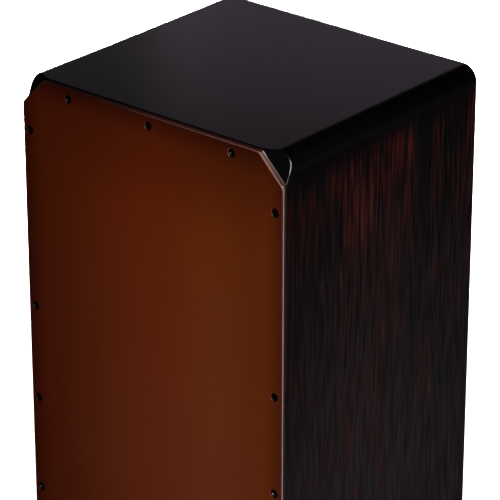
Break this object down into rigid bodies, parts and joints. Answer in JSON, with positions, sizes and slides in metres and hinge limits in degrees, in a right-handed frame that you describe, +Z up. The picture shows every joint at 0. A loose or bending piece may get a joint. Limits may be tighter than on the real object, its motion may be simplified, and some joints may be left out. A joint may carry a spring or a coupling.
{
  "type": "cajon",
  "caption": "Box drum to sit on: thin screwed front plate as playing face, round sound hole in the back, rubber feet, and a hinged snare bar inside that swings off the plate.",
  "frame": {"origin": "on the floor, under the middle of the object's bounding box", "axes": "+Z up; the front plate faces -Y; +X is to the viewer's right when looking at the front plate"},
  "size_m": [0.3, 0.274, 0.5],
  "materials": {
    "seat_paint": "satin black paint on plywood",
    "side_finish": "dark ebony-like veneer with fine red-brown streaks, fading to black at the top, semi-gloss",
    "plate_stain": "red-brown stained thin plywood, satin, darker at the edges",
    "bare_wood": "unfinished birch",
    "black_screw": "blackened steel",
    "bright_steel": "bright steel wire and strip",
    "clamp_brass": "plain brass strip",
    "foot_rubber": "black rubber"
  },
  "bodies": {
    "box": {"seat_panel": "seat_paint", "bottom_panel": "side_finish", "left_side_panel": "side_finish", "right_side_panel": "side_finish", "front_plate": "plate_stain", "back_panel": "side_finish", "back_cleat_top": "bare_wood", "back_cleat_bottom": "bare_wood", "back_cleat_left": "bare_wood", "back_cleat_right": "bare_wood", "corner_block_top_left": "bare_wood", "corner_block_top_right": "bare_wood", "corner_block_bottom_left": "bare_wood", "corner_block_bottom_right": "bare_wood", "bearing_block_left": "bare_wood", "bearing_block_right": "bare_wood", "front_screw_01": "black_screw", "front_screw_02": "black_screw", "front_screw_03": "black_screw", "front_screw_04": "black_screw", "front_screw_05": "black_screw", "front_screw_06": "black_screw", "front_screw_07": "black_screw", "front_screw_08": "black_screw", "front_screw_09": "black_screw", "front_screw_10": "black_screw", "front_screw_11": "black_screw", "front_screw_12": "black_screw", "front_screw_13": "black_screw", "front_screw_14": "black_screw", "back_screw_01": "black_screw", "back_screw_02": "black_screw", "back_screw_03": "black_screw", "back_screw_04": "black_screw", "back_screw_05": "black_screw", "back_screw_06": "black_screw", "back_screw_07": "black_screw", "back_screw_08": "black_screw", "foot_front_left": "foot_rubber", "foot_front_right": "foot_rubber", "foot_back_left": "foot_rubber", "foot_back_right": "foot_rubber", "foot_screw_01": "black_screw", "foot_screw_02": "black_screw", "foot_screw_03": "black_screw", "foot_screw_04": "black_screw"},
    "snare_unit": {"snare_bar": "bare_wood", "pivot_pin_left": "bright_steel", "pivot_pin_right": "bright_steel", "snare_wires_left": "bright_steel", "snare_wires_right": "bright_steel", "snare_clamp_left": "clamp_brass", "snare_clamp_right": "clamp_brass", "throw_off_lever": "bright_steel", "lever_screw": "black_screw", "clamp_screw_01": "black_screw", "clamp_screw_02": "black_screw", "clamp_screw_03": "black_screw", "clamp_screw_04": "black_screw"}
  },
  "joints": [
    {"name": "snare_throw_off", "type": "hinge", "parent": "box", "child": "snare_unit", "pos_m": [0, -0.0915, 0.37], "axis": [-1, 0, 0], "range_deg": [0, 20]}
  ]
}
